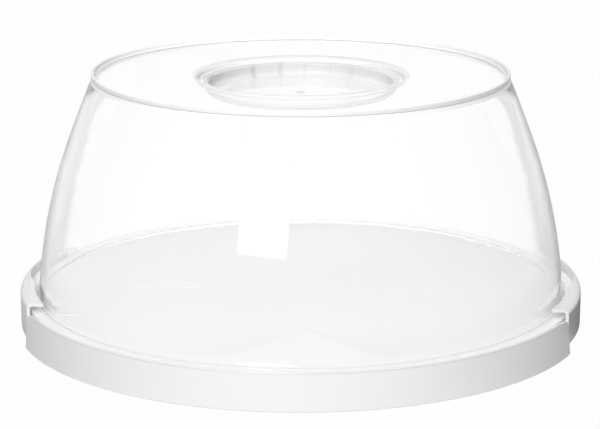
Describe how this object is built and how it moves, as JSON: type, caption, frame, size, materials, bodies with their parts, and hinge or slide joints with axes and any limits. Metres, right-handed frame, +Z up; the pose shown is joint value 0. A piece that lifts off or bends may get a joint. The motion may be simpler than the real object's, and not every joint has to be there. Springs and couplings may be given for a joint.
{
  "type": "cake carrier",
  "caption": "Round cake carrier: flat serving tray with a low skirt, clear domed lid with a rimmed top and round grip recess, and swing-out side latches that hook over the lid flange.",
  "frame": {"origin": "centre of the skirt's foot, on the surface the carrier stands on", "axes": "+Z up along the lid's axis; the latches lie on +X and -X; -Y is the side seen in front"},
  "size_m": [0.3454, 0.35, 0.1581],
  "materials": {
    "tray_plastic": "satin",
    "latch_plastic": "satin",
    "clear_plastic": "clear polished",
    "pin_steel": "plain"
  },
  "bodies": {
    "tray": {"base_tray": "tray_plastic", "hinge_pin_left_front": "pin_steel", "hinge_pin_left_rear": "pin_steel", "hinge_pin_right_front": "pin_steel", "hinge_pin_right_rear": "pin_steel"},
    "lid": {"lid": "clear_plastic"},
    "left_latch": {"latch_left": "latch_plastic"},
    "right_latch": {"latch_right": "latch_plastic"}
  },
  "joints": [
    {"name": "lid_lift", "type": "slide", "parent": "tray", "child": "lid", "axis": [0, 0, 1], "range_m": [0, 0.2]},
    {"name": "latch_left_swing", "type": "hinge", "parent": "tray", "child": "left_latch", "pos_m": [-0.165, 0, 0.00997], "axis": [0, -1, 0], "range_deg": [0, 90]},
    {"name": "latch_right_swing", "type": "hinge", "parent": "tray", "child": "right_latch", "pos_m": [0.165, 0, 0.00997], "axis": [0, 1, 0], "range_deg": [0, 90]}
  ]
}
